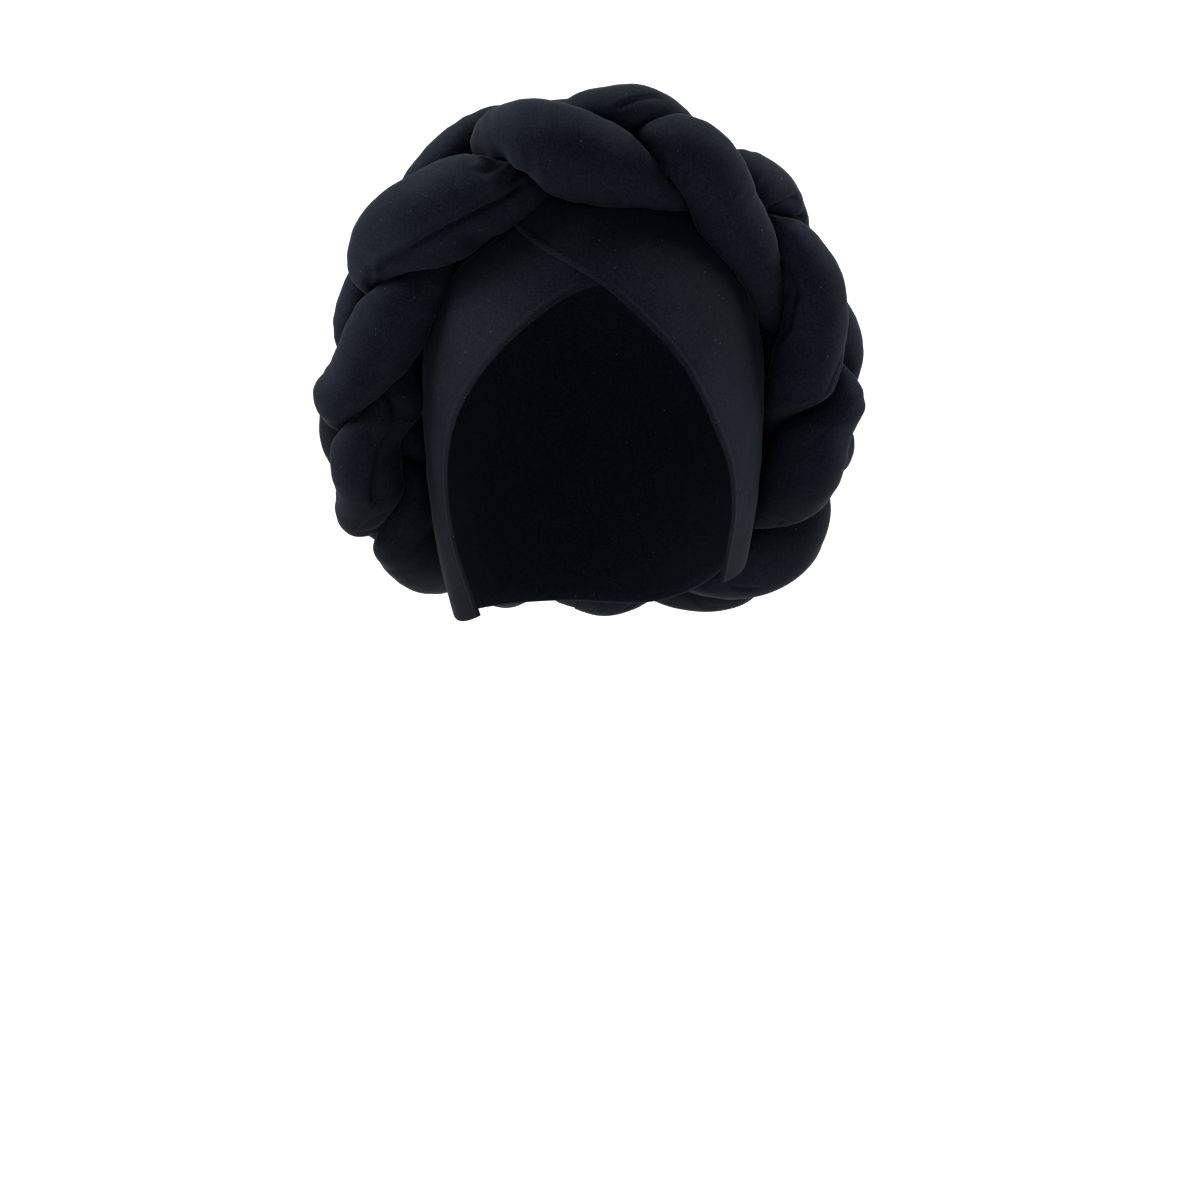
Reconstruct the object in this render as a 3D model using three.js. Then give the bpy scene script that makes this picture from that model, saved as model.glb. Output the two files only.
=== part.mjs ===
// Turban headwrap: a snug jersey cap whose two front panels cross over the forehead, with a thick padded
// three-strand plait lying round it from the nape, up both sides and over the front of the crown.
// Millimetres. +Z up, the face looks along -Y, +X is the wearer's left. The origin is the cap's inner apex.
import * as THREE from 'three';

// ---------- named sizes ----------
const CLOTH = 1.6; // jersey wall, two plies
const CROWN_LIFT = 0.2; // inner face of the crown above the head form
const STRAND_SEAT = 7.2; // the plait starts this far above the head form
const SAG_AFT = 0.6, SAG_FORE = 0.2; // how much farther a strand's filling reaches towards the cap, rear and front row
const STRAND_GAP = 1.3; // daylight left between two strands
const EDGE_GAP = 0.9; // and at the middle of their facets' edges
const CORE_CLEAR = 14.5; // a strand's centre stays about this far above the head form
const SOFT_PUSH = 4; // how softly it is eased out
const CROSS_RISE = 9; // least rise where two strands cross
const TABLE_TURN = 12; // lobes in one full turn of the plait
const PLAIT_END = 11; // the two ends of the plait meet here, at the middle of the nape
const END_GAP = 0.012; // in lobes, kept open between the two ends

// ---------- head form (the space the cap is cut to) ----------
const HEAD = { midDrop: 110, half: 80, front: 95, back: 97, taperLength: 118, halfTaper: 15.5, frontTaper: 27, backTaper: 39 };

// ---------- plait, one row per front lobe ----------
// clock: degrees clockwise from the bottom as the wearer is seen from the front; ring: distance from the ring's
// centre in that view; depth: how far back; fore / aft: swing of a strand to the plait's front and rear edge;
// rise: its swing out from and in to the head; girth / aftGirth: radius of the tube in the front and rear row;
// lead: how far the front lobe runs ahead; aftDrop: lift of the rear row; sink: how far crossings sit in.
const RING_CENTRE = { x: 0, z: -97 };
const LOBES = [
  { lobe:  0, clock:   23.5, ring:  108.5, depth:   97, fore: 18.0, aft: 18.0, rise: 12.0, girth: 18.5, aftGirth: 17.5, lead:   1.0, aftDrop: -2.0, sink:  3.0 },
  { lobe:  1, clock:   41.8, ring:  125.0, depth:   58, fore: 14.8, aft: 16.5, rise:  3.2, girth: 16.2, aftGirth: 16.8, lead:   6.7, aftDrop:  3.9, sink:  4.0 },
  { lobe:  2, clock:   66.4, ring:  121.3, depth:   18, fore: 16.7, aft: 16.5, rise:  1.1, girth: 16.2, aftGirth: 16.8, lead:   2.0, aftDrop: -4.3, sink:  1.4 },
  { lobe:  3, clock:   98.7, ring:  107.2, depth:   -6, fore: 13.4, aft: 17.2, rise:  6.0, girth: 17.3, aftGirth: 16.8, lead: -13.0, aftDrop: -10.5, sink:  0.0 },
  { lobe:  4, clock:  142.9, ring:  107.3, depth:  -30, fore: 22.1, aft: 18.0, rise:  5.0, girth: 22.1, aftGirth: 16.8, lead:  -7.8, aftDrop: -12.2, sink:  0.9 },
  { lobe:  5, clock:  183.5, ring:  101.4, depth:  -54, fore: 14.3, aft: 17.0, rise:  8.2, girth: 21.2, aftGirth: 16.8, lead:  -8.1, aftDrop: -5.2, sink: -2.4 },
  { lobe:  6, clock:  223.2, ring:   98.3, depth:  -38, fore: 11.8, aft: 17.3, rise:  9.8, girth: 17.1, aftGirth: 17.4, lead: -11.1, aftDrop: -3.6, sink:  0.7 },
  { lobe:  7, clock:  266.7, ring:  105.4, depth:   -6, fore: 15.6, aft: 18.2, rise:  6.0, girth: 16.2, aftGirth: 16.8, lead:  -0.7, aftDrop:  0.4, sink:  0.4 },
  { lobe:  8, clock:  296.7, ring:  115.7, depth:   18, fore: 13.3, aft: 16.5, rise:  0.9, girth: 18.8, aftGirth: 16.8, lead: -11.8, aftDrop:  6.2, sink: -0.7 },
  { lobe:  9, clock:  318.1, ring:  118.0, depth:   68, fore: 21.1, aft: 19.5, rise: 13.5, girth: 24.3, aftGirth: 19.1, lead:  -5.3, aftDrop: -4.6, sink:  2.7 },
  { lobe: 10, clock:  333.0, ring:  116.5, depth:   99, fore: 18.5, aft: 18.0, rise: 12.0, girth: 19.5, aftGirth: 18.0, lead:  -3.0, aftDrop: -3.0, sink:  3.0 },
  { lobe: 11, clock:  358.9, ring:  105.5, depth:  110, fore: 18.5, aft: 18.0, rise: 12.0, girth: 18.5, aftGirth: 18.0, lead:   0.0, aftDrop: -3.0, sink:  3.0 },
];

// ---------- cap outline, turn in degrees from the middle of the face (+ to the wearer's left), drop below the apex ----------
// front edge and nape hem of the crown piece, one row per corner of its outline
const CROWN_EDGE = [
  { turn: 0, drop: 26 }, { turn: 28, drop: 40 }, { turn: 47, drop: 56 }, { turn: 62, drop: 82 }, { turn: 70, drop: 116 },
  { turn: 76, drop: 150 }, { turn: 80, drop: 176 }, { turn: 84, drop: 190 }, { turn: 95, drop: 193 }, { turn: 118, drop: 212 },
  { turn: 148, drop: 226 }, { turn: 180, drop: 226 }, { turn: 212, drop: 226 }, { turn: 244, drop: 227 }, { turn: 268, drop: 226 },
  { turn: 274, drop: 214 }, { turn: 278, drop: 184 }, { turn: 284, drop: 150 }, { turn: 290, drop: 116 }, { turn: 298, drop: 82 },
  { turn: 313, drop: 56 }, { turn: 332, drop: 40 },
];
// the panel that lies under at the crossing: face hem and rear edge, from the crossing down to the nape
const PANEL_UNDER = [
  { hemTurn: 7, hemDrop: 60, rearTurn: -6, rearDrop: 41, hemLift: 0.3, rearLift: 0.3 },
  { hemTurn: -2.4, hemDrop: 61.3, rearTurn: -18, rearDrop: 40, hemLift: 0.3, rearLift: 2.4 },
  { hemTurn: -14, hemDrop: 68.6, rearTurn: -33, rearDrop: 37, hemLift: 0.3, rearLift: 2.4 },
  { hemTurn: -28.7, hemDrop: 86.3, rearTurn: -52, rearDrop: 49, hemLift: 0.3, rearLift: 2.4 },
  { hemTurn: -42, hemDrop: 106, rearTurn: -68, rearDrop: 65, hemLift: 0.3, rearLift: 2.4 },
  { hemTurn: -53.5, hemDrop: 125, rearTurn: -79, rearDrop: 88, hemLift: 0.3, rearLift: 2.4 },
  { hemTurn: -61, hemDrop: 143.6, rearTurn: -87, rearDrop: 118, hemLift: 0.3, rearLift: 2.4 },
  { hemTurn: -65, hemDrop: 165, rearTurn: -92, rearDrop: 150, hemLift: 0.3, rearLift: 2.4 },
  { hemTurn: -64.5, hemDrop: 188, rearTurn: -93, rearDrop: 186, hemLift: 0.3, rearLift: 2.4 },
  { hemTurn: -60, hemDrop: 208, rearTurn: -93, rearDrop: 210, hemLift: 0.3, rearLift: 2.6 },
  { hemTurn: -57, hemDrop: 223, rearTurn: -92, rearDrop: 225, hemLift: 0.3, rearLift: 2.6 },
];
// the panel that lies over at the crossing, from its end under the plait down to the nape
const PANEL_OVER = [
  { hemTurn: -41, hemDrop: 33, rearTurn: -37, rearDrop: 25, hemLift: 4.6, rearLift: 4.6 },
  { hemTurn: -23, hemDrop: 45.5, rearTurn: -24, rearDrop: 21, hemLift: 4.6, rearLift: 4.6 },
  { hemTurn: -11.3, hemDrop: 53.5, rearTurn: -8, rearDrop: 18, hemLift: 4.6, rearLift: 4.6 },
  { hemTurn: -1, hemDrop: 62.5, rearTurn: 10, rearDrop: 19, hemLift: 4.4, rearLift: 4.6 },
  { hemTurn: 10, hemDrop: 77.2, rearTurn: 28, rearDrop: 24, hemLift: 2.6, rearLift: 4.0 },
  { hemTurn: 23.5, hemDrop: 100, rearTurn: 50, rearDrop: 40, hemLift: 0.6, rearLift: 2.6 },
  { hemTurn: 37, hemDrop: 131, rearTurn: 68, rearDrop: 66, hemLift: 0.3, rearLift: 2.4 },
  { hemTurn: 46, hemDrop: 151, rearTurn: 82, rearDrop: 104, hemLift: 0.3, rearLift: 2.4 },
  { hemTurn: 51.5, hemDrop: 172, rearTurn: 87, rearDrop: 150, hemLift: 0.3, rearLift: 2.4 },
  { hemTurn: 52.5, hemDrop: 190, rearTurn: 90, rearDrop: 178, hemLift: 0.3, rearLift: 2.4 },
  { hemTurn: 53, hemDrop: 207, rearTurn: 92, rearDrop: 190, hemLift: 0.3, rearLift: 2.4 },
];

// ---------- small helpers ----------
const rad = (d) => (d * Math.PI) / 180;
const add = (a, b, k = 1) => [a[0] + b[0] * k, a[1] + b[1] * k, a[2] + b[2] * k];
const dot = (a, b) => a[0] * b[0] + a[1] * b[1] + a[2] * b[2];
const len = (a) => Math.hypot(a[0], a[1], a[2]);
const unit = (a) => { const l = len(a); return [a[0] / l, a[1] / l, a[2] / l]; };
const cross = (a, b) => [a[1] * b[2] - a[2] * b[1], a[2] * b[0] - a[0] * b[2], a[0] * b[1] - a[1] * b[0]];
const mix = (a, b, t) => a + (b - a) * t;
const smooth = (t) => { const s = Math.min(Math.max(t, 0), 1); return s * s * (3 - 2 * s); };

// cubic spline through equally spaced values; `turn` is what one full period adds (0 for a closed loop)
function periodicSpline(values, turn = 0) {
  const n = values.length;
  const flat = values.map((v, i) => v - (turn * i) / n);
  let m = new Array(n).fill(0); // second derivatives, Gauss-Seidel on the cyclic system
  for (let pass = 0; pass < 80; pass++) {
    for (let i = 0; i < n; i++) {
      const a = (i + n - 1) % n, b = (i + 1) % n;
      m[i] = (6 * (flat[b] - 2 * flat[i] + flat[a]) - m[a] - m[b]) / 4;
    }
  }
  return (u) => {
    const w = ((u % n) + n) % n, i = Math.floor(w) % n, j = (i + 1) % n, t = w - Math.floor(w), s = 1 - t;
    return s * flat[i] + t * flat[j] + ((s * s * s - s) * m[i] + (t * t * t - t) * m[j]) / 6 + (turn * u) / n;
  };
}
// smooth open curve through table rows
function rowSpline(rows, key) {
  const v = rows.map((r) => r[key]), n = v.length;
  const at = (i) => (i < 0 ? 2 * v[0] - v[1] : i >= n ? 2 * v[n - 1] - v[n - 2] : v[i]);
  return (t) => {
    const x = t * (n - 1), i = Math.min(Math.floor(x), n - 2), f = x - i;
    const a = at(i - 1), b = at(i), c = at(i + 1), d = at(i + 2);
    return b + 0.5 * f * (c - a + f * (2 * a - 5 * b + 4 * c - d + f * (3 * (b - c) + d - a)));
  };
}

// ---------- head form ----------
function headValue(p) { // below 0 inside, 0 on the form
  const t = Math.max((-HEAD.midDrop - p[2]) / HEAD.taperLength, 0);
  const half = HEAD.half - HEAD.halfTaper * t ** 2.2;
  const long = p[1] < 0 ? HEAD.front - HEAD.frontTaper * t ** 2.2 : HEAD.back - HEAD.backTaper * t ** 1.8;
  return Math.hypot(p[0] / half, p[1] / long, Math.max(p[2] + HEAD.midDrop, 0) / HEAD.midDrop) - 1;
}
function headNormal(p) {
  const e = 0.05, g = [0, 1, 2].map((i) => {
    const a = [...p], b = [...p]; a[i] += e; b[i] -= e;
    return (headValue(a) - headValue(b)) / (2 * e);
  });
  return { normal: unit(g), slope: len(g) };
}
const headDistance = (p) => headValue(p) / headNormal(p).slope;
// point on the form at a turn and a drop
function onHead(turn, drop) {
  const dir = [Math.sin(rad(turn)), -Math.cos(rad(turn))];
  let lo = 0, hi = 130;
  for (let i = 0; i < 40; i++) {
    const r = (lo + hi) / 2;
    if (headValue([dir[0] * r, dir[1] * r, -drop]) < 0) lo = r; else hi = r;
  }
  return [dir[0] * lo, dir[1] * lo, -drop];
}
// the form's surface in a direction from the middle of the head
function outward(dir) {
  let lo = 5, hi = 260;
  const c = [0, 0, -HEAD.midDrop];
  for (let i = 0; i < 40; i++) {
    const r = (lo + hi) / 2;
    if (headValue(add(c, dir, r)) < 0) lo = r; else hi = r;
  }
  return add(c, dir, lo);
}
const toDirection = (p) => unit(add(p, [0, 0, -HEAD.midDrop], -1));
const lifted = (p, lift) => add(p, headNormal(p).normal, lift);

// ---------- mesh building ----------
function solid(name, points, triangles, colour, roughness) {
  let volume = 0;
  for (const [a, b, c] of triangles) volume += dot(points[a], cross(points[b], points[c])) / 6;
  const tris = volume < 0 ? triangles.map(([a, b, c]) => [a, c, b]) : triangles;
  const geometry = new THREE.BufferGeometry();
  geometry.setAttribute('position', new THREE.BufferAttribute(new Float32Array(points.flat()), 3));
  geometry.setIndex(tris.flat());
  geometry.computeVertexNormals();
  const mesh = new THREE.Mesh(geometry, new THREE.MeshStandardMaterial({ color: colour, roughness, metalness: 0 }));
  mesh.name = name;
  return mesh;
}
const quad = (out, a, b, c, d) => out.push([a, b, c], [a, c, d]);

// cloth dome: a pole point, then rows of points out to the edge, doubled by the cloth's thickness
function crownPiece() {
  const columns = 44, rows = 9, points = [], tris = [];
  const edgeTurn = periodicSpline(CROWN_EDGE.map((r, i) => (r.turn)), 360);
  const edgeDrop = periodicSpline(CROWN_EDGE.map((r) => r.drop));
  const pole = unit([0, 0.42, 1]);
  const surface = (i, k) => { // k 0 at the pole, rows at the edge
    const u = (i / columns) * CROWN_EDGE.length;
    const edge = toDirection(onHead(edgeTurn(u), edgeDrop(u)));
    const angle = Math.acos(Math.min(Math.max(dot(pole, edge), -1), 1)), t = k / rows;
    const side = unit(add(edge, pole, -dot(pole, edge)));
    const dir = add([0, 0, 0], pole, Math.cos(angle * t)), d = add(dir, side, Math.sin(angle * t));
    return outward(unit(d));
  };
  for (const lift of [CROWN_LIFT, CROWN_LIFT + CLOTH]) {
    points.push(lifted(outward(pole), lift));
    for (let k = 1; k <= rows; k++) for (let i = 0; i < columns; i++) points.push(lifted(surface(i, k), lift));
  }
  const size = 1 + rows * columns, id = (layer, i, k) => layer * size + (k === 0 ? 0 : 1 + (k - 1) * columns + (i % columns));
  for (let i = 0; i < columns; i++) {
    for (let k = 0; k < rows; k++) {
      if (k === 0) { tris.push([id(1, 0, 0), id(1, i, 1), id(1, i + 1, 1)], [id(0, 0, 0), id(0, i + 1, 1), id(0, i, 1)]); continue; }
      quad(tris, id(1, i, k), id(1, i, k + 1), id(1, i + 1, k + 1), id(1, i + 1, k));
      quad(tris, id(0, i, k), id(0, i + 1, k), id(0, i + 1, k + 1), id(0, i, k + 1));
    }
    quad(tris, id(1, i, rows), id(0, i, rows), id(0, i + 1, rows), id(1, i + 1, rows));
  }
  return solid('cap_crown', points, tris, 0x14171d, 0.95);
}

// cloth strip between a face hem and a rear edge, hugging the head form
function panelPiece(name, table, colour) {
  const along = 30, across = 5, points = [], tris = [];
  const get = Object.fromEntries(['hemTurn', 'hemDrop', 'rearTurn', 'rearDrop', 'hemLift', 'rearLift'].map((k) => [k, rowSpline(table, k)]));
  for (const layer of [0, 1]) for (let i = 0; i <= along; i++) for (let k = 0; k <= across; k++) {
    const s = i / along, t = k / across;
    const a = toDirection(onHead(get.hemTurn(s), get.hemDrop(s))), b = toDirection(onHead(get.rearTurn(s), get.rearDrop(s)));
    const p = outward(unit([0, 1, 2].map((n) => mix(a[n], b[n], t))));
    points.push(lifted(p, mix(get.hemLift(s), get.rearLift(s), smooth(t * 1.7)) + layer * CLOTH));
  }
  const size = (along + 1) * (across + 1), id = (layer, i, k) => layer * size + i * (across + 1) + k;
  for (let i = 0; i < along; i++) for (let k = 0; k < across; k++) {
    quad(tris, id(1, i, k), id(1, i + 1, k), id(1, i + 1, k + 1), id(1, i, k + 1));
    quad(tris, id(0, i, k), id(0, i, k + 1), id(0, i + 1, k + 1), id(0, i + 1, k));
  }
  for (let i = 0; i < along; i++) {
    quad(tris, id(0, i, 0), id(0, i + 1, 0), id(1, i + 1, 0), id(1, i, 0));
    quad(tris, id(0, i, across), id(1, i, across), id(1, i + 1, across), id(0, i + 1, across));
  }
  for (let k = 0; k < across; k++) {
    quad(tris, id(0, 0, k), id(1, 0, k), id(1, 0, k + 1), id(0, 0, k + 1));
    quad(tris, id(0, along, k), id(0, along, k + 1), id(1, along, k + 1), id(1, along, k));
  }
  return solid(name, points, tris, colour, 0.95);
}

// ---------- plait ----------
const column = Object.fromEntries(Object.keys(LOBES[0]).map((k) => [k, periodicSpline(LOBES.map((r) => r[k]), k === 'clock' ? 360 : 0)]));
function ringPoint(u) {
  const a = rad(column.clock(u)), r = column.ring(u);
  return [RING_CENTRE.x - r * Math.sin(a), column.depth(u), RING_CENTRE.z - r * Math.cos(a)];
}
function ringFrame(u) { // along the plait, out from the head, towards the plait's front edge
  const at = ringPoint(u), along = unit(add(ringPoint(u + 0.02), ringPoint(u - 0.02), -1));
  const raw = [at[0] / HEAD.half ** 2, at[1] / HEAD.back ** 2, (at[2] + 120) / 121 ** 2];
  const out = unit(add(raw, along, -dot(raw, along)));
  return { at, along, out, fore: cross(along, out) };
}
function strandAt(j, u) {
  const f = ringFrame(u), phase = (2 * Math.PI * (u - j)) / 3 + Math.PI / 2, s = Math.sin(phase);
  const swing = s > 0 ? column.fore(u) * s : column.aft(u) * s;
  const wide = mix(Math.max(column.rise(u), CROSS_RISE), column.rise(u), smooth((s - 0.5) / 0.4));
  const rise = wide * Math.sin(2 * phase) - column.sink(u) * (1 - smooth(Math.abs(s))) + column.aftDrop(u) * Math.max(-s, 0);
  let p = add(add(add(f.at, f.fore, swing), f.out, rise), f.along, column.lead(u) * Math.max(s, 0));
  const end = Math.min(PLAIT_END - u, u - (PLAIT_END - TABLE_TURN)); // lobes from the nearer end
  const girth = mix(column.aftGirth(u), column.girth(u), (1 + s) / 2) * mix(0.62, 1, smooth(end / 0.45));
  const d = headDistance(p) - CORE_CLEAR, k = SOFT_PUSH; // a strand is eased out so that it never sinks into the cap
  if (d < k) p = add(p, headNormal(p).normal, d > -k ? (k - d) ** 2 / (4 * k) : -d);
  return { p, girth, sag: mix(SAG_AFT, SAG_FORE, smooth((1 + s) / 2)), frame: f };
}
const FINE = 0.05, U0 = PLAIT_END - TABLE_TURN, U1 = PLAIT_END;
const CORES = [0, 1, 2].map((j) => {
  const line = [];
  for (let k = 0; k <= Math.round((U1 - U0) / FINE); k++) line.push(strandAt(j, U0 + k * FINE));
  return line;
});
// distance from a point to a strand's skin, which sags towards the cap; looks only near position u
function skin(j, u, p, reach) {
  const line = CORES[j], k0 = Math.max(0, Math.floor((u - reach - U0) / FINE)), k1 = Math.min(line.length - 2, Math.ceil((u + reach - U0) / FINE));
  let best = 1e9;
  for (let k = k0; k <= k1; k++) {
    const a = line[k].p, b = line[k + 1].p, ab = add(b, a, -1), ap = add(p, a, -1);
    const t = Math.min(Math.max(dot(ap, ab) / dot(ab, ab), 0), 1);
    const q = add(ap, ab, -t), far = len(q), inward = Math.max(-dot(q, line[k].frame.out) / Math.max(far, 1e-6), 0);
    const d = far - mix(line[k].girth, line[k + 1].girth, t) * (1 + line[k].sag * inward ** 2);
    if (d < best) best = d;
  }
  return best;
}
// how far a point is inside the space a strand may fill: its own tube, its side of the gap to the others, clear of the cap
function room(j, u, q, gap, seat, tube) {
  const own = skin(j, u, q, 0.7);
  let free = Math.min(tube ? -own : 1e9, headDistance(q) - seat);
  for (const other of [0, 1, 2]) if (other !== j) free = Math.min(free, (skin(other, u, q, 0.9) - own - gap) / 2);
  return free;
}
function strandPiece(j, colour) {
  const stations = 88, sides = 12, steps = 16, points = [], tris = [];
  const rays = [];
  for (let i = 0; i <= stations; i++) {
    const u = mix(U0 + END_GAP, U1 - END_GAP, i / stations), { p, girth, frame } = strandAt(j, u), row = [];
    for (let k = 0; k < sides; k++) { // walk out along each ray to the first thing in the way
      const a = (2 * Math.PI * k) / sides, reach = girth * 1.9;
      const dir = add(add([0, 0, 0], frame.fore, Math.cos(a)), frame.out, Math.sin(a));
      let n = 1;
      while (n < steps && room(j, u, add(p, dir, (reach * n) / steps), STRAND_GAP, STRAND_SEAT, true) > 0) n++;
      let lo = (reach * (n - 1)) / steps, hi = (reach * n) / steps;
      for (let m = 0; m < 8; m++) { const r = (lo + hi) / 2; if (room(j, u, add(p, dir, r), STRAND_GAP, STRAND_SEAT, true) > 0) lo = r; else hi = r; }
      row.push({ u, p, dir, r: Math.max(lo, 0.5) });
    }
    rays.push(row);
  }
  // ease in every edge whose middle comes too near another strand or the cap
  const tip = (ray) => add(ray.p, ray.dir, ray.r);
  for (let pass = 0; pass < 8; pass++) {
    const cut = rays.map((row) => row.map(() => 0));
    for (let i = 0; i <= stations; i++) for (let k = 0; k < sides; k++) for (const [di, dk] of [[1, 0], [0, 1], [1, 1], [1, sides - 1]]) {
      if (i + di > stations) continue;
      const kk = (k + dk) % sides, a = rays[i][k], b = rays[i + di][kk];
      const mid = add(add([0, 0, 0], tip(a), 0.5), tip(b), 0.5);
      const short = -room(j, (a.u + b.u) / 2, mid, EDGE_GAP, STRAND_SEAT - 0.3, false) * 1.3;
      if (short > 0) { cut[i][k] = Math.max(cut[i][k], short); cut[i + di][kk] = Math.max(cut[i + di][kk], short); }
    }
    rays.forEach((row, i) => row.forEach((ray, k) => { ray.r = Math.max(ray.r - cut[i][k], 0.5); }));
  }
  for (const row of rays) for (const ray of row) points.push(tip(ray));
  const id = (i, k) => i * sides + (k % sides);
  for (let i = 0; i < stations; i++) for (let k = 0; k < sides; k++) quad(tris, id(i, k), id(i + 1, k), id(i + 1, k + 1), id(i, k + 1));
  for (const [i, flip] of [[0, false], [stations, true]]) {
    const centre = points.length;
    points.push([0, 1, 2].map((n) => { let s = 0; for (let k = 0; k < sides; k++) s += points[id(i, k)][n]; return s / sides; }));
    for (let k = 0; k < sides; k++) tris.push(flip ? [centre, id(i, k + 1), id(i, k)] : [centre, id(i, k), id(i, k + 1)]);
  }
  return solid(`strand_${j + 1}`, points, tris, colour, 0.92);
}

const group = new THREE.Group();
group.name = 'turban_headwrap';
group.add(crownPiece());
group.add(panelPiece('front_panel_under', PANEL_UNDER, 0x1b1e25));
group.add(panelPiece('front_panel_over', PANEL_OVER, 0x181b22));
[0x161a21, 0x171b22, 0x151920].forEach((colour, j) => group.add(strandPiece(j, colour)));
export default group;
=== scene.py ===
import bpy
import numpy as np
from math import pi, radians, sin, cos, atan2
from mathutils import Matrix, Vector


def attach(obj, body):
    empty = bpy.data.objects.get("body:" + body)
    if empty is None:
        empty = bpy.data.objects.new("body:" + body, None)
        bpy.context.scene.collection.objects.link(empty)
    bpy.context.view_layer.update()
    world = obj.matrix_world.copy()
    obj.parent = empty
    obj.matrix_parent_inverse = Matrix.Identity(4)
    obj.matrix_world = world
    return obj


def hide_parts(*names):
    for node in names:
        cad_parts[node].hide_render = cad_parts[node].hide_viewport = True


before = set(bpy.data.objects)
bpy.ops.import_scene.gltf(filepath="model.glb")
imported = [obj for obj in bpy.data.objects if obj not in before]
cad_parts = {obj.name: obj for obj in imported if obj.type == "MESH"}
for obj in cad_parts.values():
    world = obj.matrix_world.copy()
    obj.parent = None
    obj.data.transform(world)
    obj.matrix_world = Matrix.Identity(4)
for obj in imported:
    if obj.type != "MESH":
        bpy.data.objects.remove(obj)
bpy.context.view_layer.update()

MM = 0.001

# =====================================================================================================
# Named sizes, in millimetres like the part's source. Turn is in degrees from the middle of the face,
# + to the wearer's left; drop is below the cap's inner apex.
# =====================================================================================================
MID, HALF, FRONT, BACK, TAPER = 110.0, 80.0, 95.0, 97.0, 118.0
HALF_T, FRONT_T, BACK_T = 15.5, 27.0, 39.0
CLOTH = 1.3
TURN, END = 12, 11.0                 # lobes in one full turn of the plait; its two ends meet at END
CROSS_RISE, CORE_CLEAR, SOFT_PUSH = 9.0, 14.5, 4.0
SAG_AFT, SAG_FORE = 0.85, 0.20       # how much farther a strand's filling reaches towards the cap, behind and in front
SEAT, GAP, ROUND = 3.7, 0.3, 4.0     # skin of the plait above the head form; daylight; roundness of the creases

# clock, ring, depth, fore, aft, rise, girth, aft_girth, lead, aft_drop, sink: one row per front lobe
COLS = "clock ring depth fore aft rise girth aft_girth lead aft_drop sink".split()
LOBES = [
    (  23.5,  108.5,    97,  18.0,  18.0,  12.0,  18.5,  17.5,    1.0,  -2.0,   3.0),   # lobe 0
    (  41.8,  125.0,    58,  14.8,  16.5,   3.2,  16.2,  16.8,    6.7,   3.9,   4.0),   # lobe 1
    (  66.4,  121.3,    18,  16.7,  16.5,   1.1,  16.2,  16.8,    2.0,  -4.3,   1.4),   # lobe 2
    (  98.7,  107.2,    -6,  13.4,  17.2,   6.0,  17.3,  16.8,  -13.0, -10.5,   0.0),   # lobe 3
    ( 142.9,  107.3,   -30,  22.1,  18.0,   5.0,  22.1,  16.8,   -7.8, -12.2,   0.9),   # lobe 4
    ( 183.5,  101.4,   -54,  14.3,  17.0,   8.2,  21.2,  16.8,   -8.1,  -5.2,  -2.4),   # lobe 5
    ( 223.2,   98.3,   -38,  11.8,  17.3,   9.8,  17.1,  17.4,  -11.1,  -3.6,   0.7),   # lobe 6
    ( 266.7,  105.4,    -6,  15.6,  18.2,   6.0,  16.2,  16.8,   -0.7,   0.4,   0.4),   # lobe 7
    ( 296.7,  115.7,    18,  13.3,  16.5,   0.9,  18.8,  16.8,  -11.8,   6.2,  -0.7),   # lobe 8
    ( 318.1,  118.0,    68,  21.1,  19.5,  13.5,  24.3,  19.1,   -5.3,  -4.6,   2.7),   # lobe 9
    ( 333.0,  116.5,    99,  18.5,  18.0,  12.0,  19.5,  18.0,   -3.0,  -3.0,   3.0),   # lobe 10
    ( 358.9,  105.5,   110,  18.5,  18.0,  12.0,  18.5,  18.0,    0.0,  -3.0,   3.0),   # lobe 11
]
CROWN_EDGE = [(0, 26), (28, 40), (47, 56), (62, 82), (70, 116), (76, 150), (80, 176), (84, 190), (95, 193), (118, 212),
              (148, 226), (180, 226), (212, 226), (244, 227), (268, 226), (274, 214), (278, 184), (284, 150), (290, 116),
              (298, 82), (313, 56), (332, 40)]
# hem_turn, hem_drop, rear_turn, rear_drop, hem_lift, rear_lift
PANEL_UNDER = [
    (7, 60, -6, 41, 0.3, 0.3), (-2.4, 61.3, -18, 40, 0.3, 2.4), (-14, 68.6, -33, 37, 0.3, 2.4),
    (-28.7, 86.3, -52, 49, 0.3, 2.6), (-42, 106, -68, 65, 0.3, 3.0), (-53.5, 125, -79, 88, 0.3, 3.0),
    (-61, 143.6, -87, 118, 0.3, 2.3), (-65, 165, -92, 150, 0.3, 2.2), (-64.5, 188, -93, 186, 0.3, 2.4),
    (-60, 208, -93, 210, 0.3, 2.6), (-57, 223, -92, 225, 0.3, 2.6)]
PANEL_OVER = [
    (-41, 33, -37, 25, 4.2, 4.4), (-23, 45.5, -24, 21, 4.0, 4.4), (-11.3, 53.5, -8, 18, 3.8, 4.4),
    (-1, 62.5, 10, 19, 3.4, 4.4), (10, 77.2, 28, 24, 1.8, 3.8), (23.5, 100, 50, 40, 0.5, 2.6),
    (37, 131, 68, 66, 0.3, 2.4), (46, 151, 82, 104, 0.3, 2.4), (51.5, 172, 87, 150, 0.3, 2.4),
    (52.5, 190, 90, 178, 0.3, 2.4), (53, 207, 92, 190, 0.3, 2.4)]

# =====================================================================================================
# Small numeric helpers
# =====================================================================================================
def unit(a):
    return a / np.maximum(np.linalg.norm(a, axis=-1, keepdims=True), 1e-12)

def smooth(t):
    t = np.clip(t, 0, 1)
    return t * t * (3 - 2 * t)

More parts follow.
